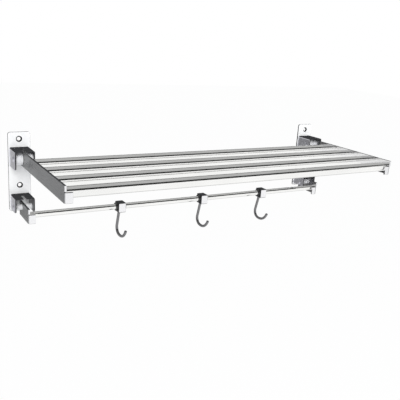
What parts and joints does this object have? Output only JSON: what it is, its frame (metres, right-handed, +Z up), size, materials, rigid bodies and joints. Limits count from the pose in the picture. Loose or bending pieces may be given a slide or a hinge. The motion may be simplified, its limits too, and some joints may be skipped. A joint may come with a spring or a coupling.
{
  "type": "folding towel rack",
  "caption": "Wall-mounted folding towel rack: a shelf of round tubes on flat arms above a small towel rail with sliding, swinging J-hooks.",
  "frame": {"origin": "middle of the four wall-screw holes, on the back faces of the wall plates (the wall face)", "axes": "+X along the rack to the right seen from the front, +Y into the wall, +Z up"},
  "size_m": [0.644, 0.245, 0.185],
  "materials": {
    "plate_steel": "polished stainless steel",
    "bracket_steel": "satin stainless steel",
    "arm_steel": "satin stainless steel",
    "tube_steel": "polished stainless steel",
    "hook_steel": "polished stainless steel",
    "pin_steel": "satin stainless steel",
    "spacer_nylon": "white nylon",
    "bush_nylon": "black nylon"
  },
  "bodies": {
    "wall_frame": {"left_wall_plate": "plate_steel", "right_wall_plate": "plate_steel", "left_shelf_bracket": "bracket_steel", "right_shelf_bracket": "bracket_steel", "left_rail_bracket": "bracket_steel", "right_rail_bracket": "bracket_steel", "left_shelf_pin": "pin_steel", "right_shelf_pin": "pin_steel", "left_rail_pin": "pin_steel", "right_rail_pin": "pin_steel", "left_shelf_spacers": "spacer_nylon", "right_shelf_spacers": "spacer_nylon", "left_rail_spacers": "spacer_nylon", "right_rail_spacers": "spacer_nylon"},
    "shelf": {"left_shelf_arm": "arm_steel", "right_shelf_arm": "arm_steel", "shelf_tube_1": "tube_steel", "shelf_tube_2": "tube_steel", "shelf_tube_3": "tube_steel", "shelf_tube_4": "tube_steel", "shelf_tube_plugs": "tube_steel"},
    "rail": {"left_rail_arm": "arm_steel", "right_rail_arm": "arm_steel", "towel_rail": "tube_steel", "towel_rail_plugs": "tube_steel"},
    "hook_1_slider": {"hook_bush_1": "bush_nylon"},
    "hook_1": {"hook_block_1": "hook_steel", "hook_wire_1": "hook_steel"},
    "hook_2_slider": {"hook_bush_2": "bush_nylon"},
    "hook_2": {"hook_block_2": "hook_steel", "hook_wire_2": "hook_steel"},
    "hook_3_slider": {"hook_bush_3": "bush_nylon"},
    "hook_3": {"hook_block_3": "hook_steel", "hook_wire_3": "hook_steel"}
  },
  "joints": [
    {"name": "shelf_fold", "type": "hinge", "parent": "wall_frame", "child": "shelf", "pos_m": [0, -0.026, 0.011], "axis": [-1, 0, 0], "range_deg": [0, 90]},
    {"name": "rail_fold", "type": "hinge", "parent": "wall_frame", "child": "rail", "pos_m": [0, -0.02, -0.072], "axis": [-1, 0, 0], "range_deg": [0, 90]},
    {"name": "hook_1_slide", "type": "slide", "parent": "rail", "child": "hook_1_slider", "axis": [1, 0, 0], "range_m": [-0.134, 0.074]},
    {"name": "hook_1_swing", "type": "hinge", "parent": "hook_1_slider", "child": "hook_1", "pos_m": [-0.142, -0.05, -0.0775], "axis": [-1, 0, 0], "range_deg": [-45, 75]},
    {"name": "hook_2_slide", "type": "slide", "parent": "rail", "child": "hook_2_slider", "axis": [1, 0, 0], "range_m": [-0.074, 0.059]},
    {"name": "hook_2_swing", "type": "hinge", "parent": "hook_2_slider", "child": "hook_2", "pos_m": [0.026, -0.05, -0.0775], "axis": [-1, 0, 0], "range_deg": [-45, 75]},
    {"name": "hook_3_slide", "type": "slide", "parent": "rail", "child": "hook_3_slider", "axis": [1, 0, 0], "range_m": [-0.059, 0.111]},
    {"name": "hook_3_swing", "type": "hinge", "parent": "hook_3_slider", "child": "hook_3", "pos_m": [0.165, -0.05, -0.0775], "axis": [-1, 0, 0], "range_deg": [-45, 75]}
  ]
}
